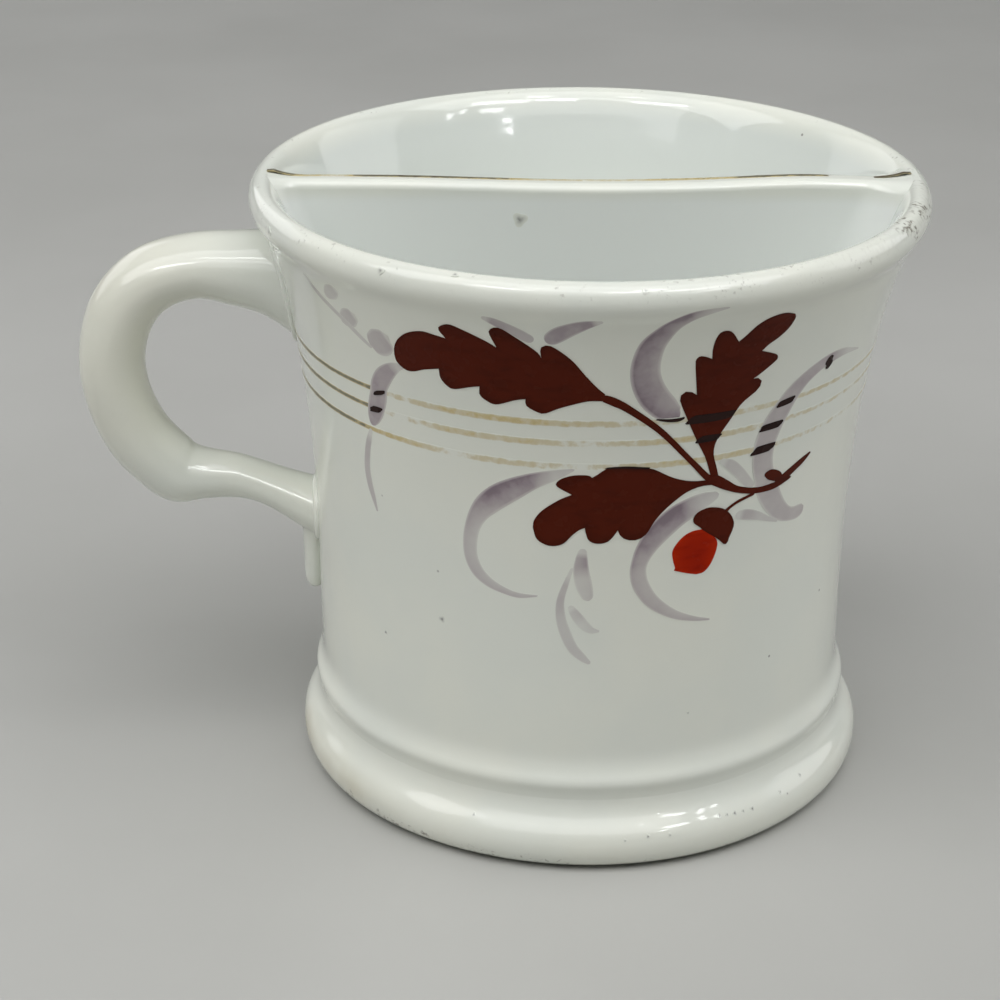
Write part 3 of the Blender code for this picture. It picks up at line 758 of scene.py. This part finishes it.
# Fronds: loose curling strokes of lavender-grey enamel, thinned to a wash, behind the sprig.
# The brush starts light, leaves most colour where it is pressed, and runs dry once it turns to the tail.
WASH_LIFT, WASH_STEP = 0.02, 0.0015
WASH_MAUVE = (0.34, 0.268, 0.305, 1)
WASH_DEEP = (0.22, 0.168, 0.20, 1)
WASH_STROKES = [
    (0.95, 0.95, -0.2,
     [(13.8, 85.3, 0.12), (11.9, 84.95, 0.45), (9.9, 84.3, 0.8), (8.2, 83, 1.0), (7, 81.5, 1.25),
      (6, 79.8, 1.55), (5.55, 77.8, 1.7), (5.5, 75.8, 1.8), (5.95, 73.8, 1.9), (6.9, 71.9, 1.95),
      (8.3, 70.2, 1.8), (9.6, 69.1, 1.3), (10.4, 68.75, 0.8)]),
    (0.88, 0.95, 0.0,
     [(0.3, 83.9, 0.2), (-1.6, 83.3, 0.75), (-3.2, 82.5, 1.0), (-4.7, 81.5, 1.1), (-5.9, 80.3, 0.8)]),
    (0.8, 0.85, 0.0,
     [(-13, 83.5, 0.3), (-11.8, 83, 0.6), (-10.4, 82.2, 0.7), (-8.8, 81.3, 0.7), (-7.4, 80.4, 0.6)]),
    (0.88, 0.92, 0.0,
     [(-24.9, 73.2, 0.3), (-26.6, 72.5, 0.85), (-28.4, 70.9, 1.3), (-29.7, 69, 1.4), (-30.3, 67, 1.5),
      (-31.1, 65, 1.45), (-31.8, 63.4, 1.1), (-32.3, 62.2, 0.4)]),
    (0.62, 0.85, 0.0,
     [(-32.6, 61.5, 0.3), (-33.4, 59.5, 0.5), (-34, 57.5, 0.55), (-34.4, 55, 0.6), (-34.2, 52.8, 0.6),
      (-33.7, 51, 0.5), (-33, 48.7, 0.15)]),
    (0.95, 0.55, -0.2,
     [(-2.6, 61.2, 0.15), (-5, 60.3, 0.75), (-8, 59.1, 1.2), (-10.5, 57.7, 1.6), (-12.6, 56.3, 1.75),
      (-14.4, 54.7, 1.65), (-15.7, 53.0, 1.35), (-16.6, 51.0, 1.12), (-17.05, 48.8, 1.05),
      (-17, 46.4, 1.0), (-16.1, 44.3, 0.95), (-14.4, 42.8, 0.75), (-12, 41.8, 0.5), (-10, 41.4, 0.38),
      (-7.4, 41.6, 0.12)]),
    (0.75, 0.55, 0.1,
     [(-1.3, 49.2, 0.5), (-1.5, 47.5, 0.85), (-1.5, 45.6, 1.1), (-1.1, 43.6, 1.15), (-0.6, 41.9, 0.85),
      (-0.4, 41.2, 0.4)]),
    (0.56, 0.75, 0.0,
     [(-2.7, 46.2, 0.2), (-3.6, 43.6, 0.4), (-4.3, 41, 0.55), (-4.2, 38.4, 0.7), (-3.5, 36, 0.8),
      (-2.5, 33.9, 0.75), (-1.2, 32.5, 0.6), (0, 31.5, 0.25)]),
    (0.42, 0.7, 0.2,
     [(-3, 40.4, 0.4), (-2.1, 38.9, 0.75), (-1, 37.5, 0.75), (0, 36.7, 0.55), (1.2, 36.5, 0.15)]),
    (0.95, 0.65, -0.2,
     [(17.2, 55.9, 0.5), (14.5, 55.1, 1.4), (11.3, 53.5, 1.75), (8.8, 51.2, 1.7), (7.2, 48.9, 1.4),
      (6.4, 46.8, 1.15), (6.3, 45.0, 1.15), (6.9, 43, 1.15), (8.6, 40.6, 1.0), (11.5, 38.5, 0.7),
      (14.5, 37.3, 0.4), (17.35, 36.6, 0.12)]),
    (0.77, 0.82, 0.0,
     [(40.4, 71.4, 0.1), (38, 72, 0.35), (35.6, 72.45, 0.65), (33, 72.4, 0.9), (30.8, 71.8, 1.0),
      (28.6, 70.6, 1.2), (26.8, 68.8, 1.5), (25.4, 66.6, 1.75), (24.3, 64.4, 1.9), (23.7, 62, 1.85),
      (23.7, 59.6, 1.75), (24.3, 57.2, 1.7), (25.3, 54.8, 1.9), (26.7, 52.4, 1.7), (28.4, 50.5, 1.4),
      (30.4, 49.4, 1.05), (32.4, 49.2, 1.05), (33.6, 49.6, 0.7)]),
    (0.6, 0.7, 0.0, [(20.2, 52, 0.6), (22, 51.7, 0.8), (24, 51, 0.65), (26, 50, 0.4), (28, 49.1, 0.2)]),
    (0.5, 0.8, 0.0,
     [(16.8, 61, 0.3), (18.3, 60.2, 0.75), (19.8, 58.8, 0.8), (21.2, 57.2, 0.75), (22.6, 55.8, 0.5)]),
    (0.66, 0.9, 0.0,
     [(-26.2, 77.0, 0.7), (-26.5, 76.9, 1.4), (-28, 76.0, 2.0), (-29.4, 75.4, 1.4),
      (-29.8, 75.2, 0.6)]),
    (0.54, 0.9, 0.0,
     [(-31.3, 79.2, 0.4), (-31.7, 78.9, 1.0), (-32.8, 78.2, 1.4), (-33.9, 77.5, 0.9),
      (-34.3, 77.2, 0.4)]),
    (0.42, 0.9, 0.0,
     [(-33.3, 82.4, 0.3), (-33.8, 82.1, 0.8), (-34.9, 81.4, 1.1), (-35.8, 80.7, 0.7),
      (-36.2, 80.4, 0.3)]),
    (0.48, 0.8, 0.0,
     [(-40.2, 82.4, 0.3), (-38, 80.1, 0.42), (-34, 77.7, 0.42), (-31.4, 75.9, 0.4),
      (-29.6, 74.7, 0.25)]),
]


def wash(strength, dry_end, lean, points):
    """A wash stroke: its load is the strength, soft at both edges and leaning to one side, light where the
    brush first touches. It falls to dry_end in a smooth step half way along, where the brush was turned."""
    plan, way, side = stroke(points, 140, 17)
    soft = np.clip((1 - np.abs(side)) / 0.18, 0.35, 1) ** 0.7
    turned = rise(way, 0.3, 0.6)
    touched = np.clip(way / 0.18, 0.45, 1)
    dried = 1 - (1 - dry_end) * turned**2 * (3 - 2 * turned)
    return plan, strength * touched * dried * soft * (1 + lean * side)


wash_enamel, surface, place, white = porcelain("wash_enamel")
streaks = ramped(cloud(place, 330.0, 4.0), 0.30, 0.70, 0.88, 1.04)
load = sums(marked(place, "load"), streaks)
mauve = mixed(ramped(load, 0.65, 1.1), WASH_MAUVE, WASH_DEEP)
feed(surface, {"Base Color": mixed(load, white, mauve)})
washes = [wash(*each) for each in WASH_STROKES]
wash_coats = [coat(plan, WASH_LIFT + WASH_STEP * k, mark) for k, (plan, mark) in enumerate(washes)]
painted("wash_fronds", wash_coats, wash_enamel)

# Gilt lines: three bands of liquid gold brushed round the mug on a turntable, and fired on.
# Most of the gold is rubbed off, so a pale yellow ghost is left in front and more of it by the handle.
# Where most gold is left, by the handle, its olive is partly thick gold and partly painted reflection of dark
# surroundings.
GILT_HEIGHTS = (68.1, 65.1, 61.6)
GILT_HALF, GILT_LIFT = 0.52, 0.022
GILT_STEPS = 900
GILT_TAPER = [(22, 1), (34, 0.7)]
GILT_GHOST = (0.66, 0.60, 0.42, 1)
GILT_GOLD = (0.62, 0.51, 0.26, 1)
GILT_OLIVE_REFLECTION = (0.22, 0.205, 0.135, 1)
GILT_BROWN = (0.115, 0.083, 0.046, 1)
GILT_LEFT_BACK, GILT_RIGHT_BACK = [(-126, 0.75), (-60, 0.9)], [(60, 0.6), (126, 0.75)]
GILT_LEFT = [
    [(-40, 0.9), (-31, 0.84), (-28, 0.22), (-22, 0.42), (-12, 0.56), (-6, 0.5), (3, 0.28), (12, 0.3),
     (26, 0.34), (42, 0.32)],
    [(-40, 0.9), (-32, 0.84), (-29, 0.15), (-25, 0.15), (-20, 0.42), (-9, 0.42), (0, 0.18), (8, 0.45),
     (13, 0.4), (26, 0.28), (42, 0.22)],
    [(-42, 0.9), (-36, 0.85), (-30, 0.6), (-23, 0.4), (-19.5, 0.05), (-16, 0.32), (-9, 0.36),
     (-2, 0.18), (4, 0.42), (18, 0.45), (26, 0.26), (42, 0.18)],
]
gilding, surface, place, white = porcelain("gilding")
# The olive end of this ramp is partly painted reflection: the dark surroundings that the gold mirrors by the
# handle.
rubbed = sums(cloud(place, 900.0, 5.0), 0.5, "SUBTRACT")
rubbed = sums(marked(place, "load"), sums(rubbed, 0.8), "ADD")
gold = mixed(ramped(rubbed, 0.10, 0.38), white, GILT_GHOST)
gold = mixed(ramped(rubbed, 0.36, 0.62), gold, GILT_GOLD)
gold = mixed(ramped(rubbed, 0.62, 0.84), gold, GILT_OLIVE_REFLECTION)
gold = mixed(ramped(rubbed, 0.94, 1.1), gold, GILT_BROWN)
feed(surface, {"Base Color": gold, "Metallic": ramped(rubbed, 0.45, 0.95, 0.0, 0.2),
               "Roughness": ramped(rubbed, 0.3, 0.8, 0.10, 0.32)})


def gilt_band(height, left):
    """A band right round the mug, a row of points to each step of the turntable, with its load after wear."""
    u = np.linspace(-np.pi, np.pi, GILT_STEPS, endpoint=False) * SCROLL_RADIUS
    side = np.linspace(-1, 1, 9)[None]
    half = GILT_HALF * np.interp(np.abs(u), *np.transpose(GILT_TAPER))[:, None]
    plan = np.stack(np.broadcast_arrays(u[:, None], height + half * side), -1)
    wear = np.transpose(GILT_LEFT_BACK + left + GILT_RIGHT_BACK)
    load = np.interp(u, *wear)[:, None] * (1 - 0.8 * side**4)
    return coat(plan, GILT_LIFT, load, closed=True)


painted("gilt_lines", [gilt_band(*each) for each in zip(GILT_HEIGHTS, GILT_LEFT)], gilding)

# Divider gilding: one more line of gold along the far edge of the divider's top, up to the lip at each end.
# It is rubbed through in the middle, where soap and brush have passed over it.
EDGE_GILT_Y, EDGE_GILT_HALF, EDGE_GILT_REACH = 0.85, 0.75, 45.4
EDGE_GILT_LEFT = [
    (-46, 1.0), (-42, 1.0), (-40.5, 0.5), (-35, 0.35), (-32.5, 0.95), (-22, 1.0), (-11, 0.75),
    (-8, 0.4), (7, 0.35), (10, 0.6), (17, 0.7), (19, 0.5), (21.5, 0.95), (36, 0.9), (38, 1.12),
    (44, 1.1), (46, 0.9),
]


def on_divider(plan, lift):
    """Points of a plan (x from the axis, y) laid on the divider's rounded top edge."""
    across, y = plan[..., 0], plan[..., 1]
    off = np.clip(y - (DIVIDER_HALF - DIVIDER_ROUND), 0, DIVIDER_ROUND * 0.98)
    height = divider_crest(across) - DIVIDER_ROUND + np.sqrt(DIVIDER_ROUND**2 - off**2)
    return np.stack([AXIS_X + across, y + lift * off / DIVIDER_ROUND, height + lift], -1)


edge_x = np.linspace(-EDGE_GILT_REACH, EDGE_GILT_REACH, 400)
edge_side = np.linspace(-1, 1, 7)[None]
edge_plan = np.stack(np.broadcast_arrays(edge_x[:, None], EDGE_GILT_Y + EDGE_GILT_HALF * edge_side), -1)
edge_load = np.interp(edge_x, *np.transpose(EDGE_GILT_LEFT))[:, None] * (1 - 0.3 * edge_side**2)
painted("divider_gilt", [coat(edge_plan, GILT_LIFT, edge_load, on_divider)], gilding)

# Dark dashes: where the gilt lines cross the wash and the leaves the gold fired almost black.
# They are short flat marks as wide as the lines, with soft broken ends.
DASH_LIFT, DASH_LEAN, DASH_TORN = 0.085, 0.8, 0.22
DASH_BLACK = (0.014, 0.010, 0.010, 1)
DASH_BROWN = (0.030, 0.014, 0.012, 1)
DASHES = [
    [(-30.9, 67.5, 0.25), (-30.7, 67.55, 0.4), (-29.3, 68.0, 0.4), (-28.9, 68.15, 0.2)],
    [(-32.1, 64.8, 0.25), (-31.9, 64.85, 0.5), (-30.4, 65.0, 0.45), (-30.1, 65.0, 0.2)],
    [(32.5, 70.9, 0.3), (32.75, 71.4, 0.75), (32.9, 72.2, 0.85), (33.2, 72.8, 0.4)],
    [(24.6, 67.7, 0.2), (24.9, 67.75, 0.48), (27.0, 67.95, 0.5), (27.3, 68.0, 0.2)],
    [(22.5, 64.55, 0.2), (22.8, 64.6, 0.48), (25.7, 64.65, 0.5), (26.0, 64.65, 0.2)],
    [(21.85, 61.3, 0.3), (22.1, 61.3, 0.6), (25.0, 61.35, 0.58), (25.3, 61.35, 0.3)],
    [(11.6, 68.0, 0.3), (11.9, 68.0, 0.6), (14.5, 67.95, 0.62), (17.4, 68.0, 0.55), (17.9, 68.1, 0.3)],
    [(13.1, 64.8, 0.25), (13.4, 64.8, 0.5), (15.9, 64.8, 0.45), (16.2, 64.8, 0.2)],
    [(1.3, 61.45, 0.12), (4, 61.5, 0.16), (7, 61.2, 0.12)],
    [(7.4, 68.55, 0.08), (9, 68.25, 0.2), (10.4, 68.25, 0.28), (11, 68.5, 0.15)],
]


def ragged(points, phase):
    """A dash whose cut ends are ragged, running out and back in waves across its width, and which leans with
    the height off its middle line, as the edges of the wash below it do."""
    plan, way, side = stroke(points, 40, 13)
    from_middle = np.abs(2 * way - 1)
    torn = DASH_TORN * np.sin(7 * side + phase) * from_middle**6 * rise(from_middle, 1, 0.96)
    off_line = plan[..., 1] - plan[:, plan.shape[1] // 2, None, 1]
    plan[..., 0] += torn + DASH_LEAN * off_line
    return plan, np.abs(side)


dash_enamel = enamel("dash_enamel", DASH_BROWN, DASH_BLACK)
dashes = [ragged(points, phase) for phase, points in enumerate(DASHES)]
painted("gilt_dashes", [coat(plan, DASH_LIFT, mark) for plan, mark in dashes], dash_enamel)

# Iron spots: specks of iron that came through the glaze in firing, and small chips that took up dirt.
# Each is a dark pinhole in a grey halo, level with the glaze, on the wall, foot, lip or divider.
SPOT_LIFT, SPOT_CORE = 0.03, 0.36
SPOT_GREY = (0.045, 0.045, 0.042, 1)
WALL_SPOTS = [(-21.8, 35.4, 0.55, 0.9), (-32.45, 29.9, 0.35, 0.8), (14.6, 22.4, 0.25, 0.6)]
FOOT_SPOTS = [
    (0.204, 5.4, 0.30, 0.8), (0.470, 6.2, 0.35, 0.8), (0.500, 6.1, 0.28, 0.6), (0.530, 6.0, 0.35, 0.8),
    (0.565, 5.9, 0.28, 0.6), (0.603, 5.8, 0.35, 0.8), (0.280, 5.2, 0.28, 0.6), (0.126, 5.1, 0.25, 0.6),
    (-0.396, 6.8, 0.30, 0.6), (0.742, 6.2, 0.30, 0.6), (0.865, 6.7, 0.30, 0.6),
]
LIP_SPOTS = [
    (-0.616, 0.55, 0.55, 0.6), (-0.396, 1.15, 0.45, 0.6), (0.115, 0.75, 0.45, 0.5),
    (-1.132, 0.08, 0.6, 0.5),
]
FACE_SPOTS = [(-9.7, 82.6, 1.0, 0.75)]


def spot(place, first, second, radius, strength, spread=(1, 1)):
    """A round coat about a place on a surface: a polar grid whose load is a soft halo and a dark core.
    `spread` is how much of each of the surface's own measures goes to a millimetre."""
    turn = np.linspace(0, 2 * np.pi, 24, endpoint=False)[:, None]
    out = np.linspace(0.02, 1, 7)[None]
    reach = radius * out * (1 + 0.18 * np.sin(3 * turn + 9 * first))
    plan = (first, second) + np.stack([np.cos(turn) * reach, np.sin(turn) * reach], -1) * spread
    load = strength * (0.3 * (1 - out**2) + 0.7 * bell(out, 0, SPOT_CORE))
    return coat(plan, SPOT_LIFT, load + 0 * turn, place, closed=True)


def on_foot(plan, lift):
    """Points of a plan (angle, height) laid on the foot's outline."""
    radius = np.interp(plan[..., 1], cove[::-1, 1], cove[::-1, 0])
    return around(radius + lift, plan[..., 0], plan[..., 1])


def on_lip(plan, lift):
    """Points of a plan (angle round the mug, turn round the lip's roll) laid on the lip."""
    turn = plan[..., 1]
    radius = LIP_CENTRE[0] + (LIP_ROLL[0] + lift) * np.cos(turn)
    return around(radius, plan[..., 0], LIP_CENTRE[1] + (LIP_ROLL[1] + lift) * np.sin(turn))


def on_face(plan, lift):
    """Points of a plan (x from the axis, height) laid on the divider's front face."""
    return np.stack([AXIS_X + plan[..., 0], -(DIVIDER_HALF + lift) + 0 * plan[..., 0], plan[..., 1]], -1)


spots = [spot(on_wall, *each) for each in WALL_SPOTS] + [spot(on_face, *each) for each in FACE_SPOTS]
spots += [spot(on_foot, *each, (1 / FOOT_RADIUS, 1)) for each in FOOT_SPOTS]
spots += [spot(on_lip, *each, (1 / LIP_CENTRE[0], 1 / LIP_ROLL[1])) for each in LIP_SPOTS]
spot_glaze, surface, place, white = porcelain("spotted_glaze")
grain = ramped(cloud(place, 2200.0, 3.0), 0.3, 0.7, 0.75, 1.1)
load = sums(marked(place, "load"), grain)
feed(surface, {"Base Color": mixed(load, white, SPOT_GREY)})
painted("iron_spots", spots, spot_glaze)

# Stage: a plain pale table top under soft studio light, seen from the photograph's place.
# A broad lamp high in front and two soft fills light the mug; panes and small lamps only show in the glaze.
FLOOR_GREY = (0.47, 0.47, 0.45, 1)
FLOOR_FLECK = (0.43, 0.43, 0.41, 1)
TABLE_HALF = 4000.0
SKY_WHITE, SKY_LOW, SKY_HIGH = (0.97, 0.99, 1.0, 1), 0.03, 0.22
LAMP_AIM, STEEP = (AXIS_X, 0, 45), 0.9
CAMERA_AT = (0.5, -322.47, 186.67)
CAMERA_PITCH, CAMERA_ROLL = 24.74, 0.0043
CAMERA_LENS, CAMERA_SENSOR, CAMERA_NEAR = 85.34, 36.0, 10.0
LAMPS = [
    ("high_softbox", (-90, -340, 945), 2.5, 0.7, 15.4, True),
    ("back_fill", (-850, 800, 480), 1.0, 0.6, 2.2, True),
    ("right_fill", (1050, 250, 450), 0.8, 0.6, 2.0, True),
    ("front_window", (0, -960, 930), 1.8, 0.55, 5.0, False),
    ("bare_lamp", (-222, -455, 952), 0.14, 0.06, 0.20, False),
    ("streak_lamp", (216, -835, 1010), 0.30, 0.12, 1.15, False),
    ("streak_lamp_high", (299, -600, 1148), 0.16, 0.16, 0.70, False),
    ("lip_pane", (617, -727, 1023), 0.46, 0.18, 2.0, False),
    ("right_lamp", (655, -988, 647), 0.084, 0.022, 0.10, False),
    ("right_pane_near", (700, -805, 740), 0.20, 0.09, 0.58, False),
    ("right_pane_middle", (878, -646, 750), 0.05, 0.12, 0.20, False),
    ("right_pane_far", (966, -591, 674), 0.05, 0.12, 0.20, False),
    ("left_pane_near", (-516, -950, 1130), 0.26, 0.11, 0.8, False),
    ("left_pane_far", (-694, -825, 1120), 0.26, 0.11, 0.8, False),
]

table, surface, place = new_finish("table_top")
fleck = ramped(cloud(place, 9.0, 4.0), 0.3, 0.7)
feed(surface, {"Base Color": mixed(fleck, FLOOR_GREY, FLOOR_FLECK), "Roughness": 0.55})
ground = bpy.data.meshes.new("table_top")
corners = np.array([(-1, -1, 0), (1, -1, 0), (1, 1, 0), (-1, 1, 0)]) * TABLE_HALF * MM
ground.from_pydata(corners, [], [(0, 1, 2, 3)])
ground.materials.append(table)
table_top = placed("table_top", ground)

for name, at, width, depth, power, lights_colour in LAMPS:
    lamp = bpy.data.lights.new(name, "AREA")
    lamp.shape, lamp.size, lamp.size_y, lamp.energy = "RECTANGLE", width, depth, power
    holder = placed(name, lamp)
    holder.visible_diffuse = lights_colour
    back = unit(np.subtract(at, LAMP_AIM))
    right = unit(np.cross((0, 1, 0) if abs(back[2]) > STEEP else (0, 0, 1), back))
    turn = np.column_stack([right, np.cross(back, right), back])
    holder.matrix_world = Matrix.Translation(np.multiply(at, MM)) @ Matrix(turn.tolist()).to_4x4()

world = bpy.data.worlds.new("studio")
world.use_nodes = True
sky = world.node_tree.nodes["Background"]
up = shade(sky, "SeparateXYZ", {0: shade(sky, "TexCoord", {})["Generated"]})[2]
feed(sky, {"Color": SKY_WHITE, "Strength": ramped(up, 0.0, 0.9, SKY_LOW, SKY_HIGH)})
bpy.context.scene.world = world
bpy.context.scene.view_settings.view_transform = "Standard"

eye = bpy.data.cameras.new("camera")
eye.lens, eye.sensor_width, eye.clip_start = CAMERA_LENS, CAMERA_SENSOR, CAMERA_NEAR * MM
camera = placed("camera", eye)
tilt = Matrix.Rotation(np.radians(90 - CAMERA_PITCH), 4, "X") @ Matrix.Rotation(CAMERA_ROLL, 4, "Z")
camera.matrix_world = Matrix.Translation(np.multiply(CAMERA_AT, MM)) @ tilt
bpy.context.scene.camera = camera
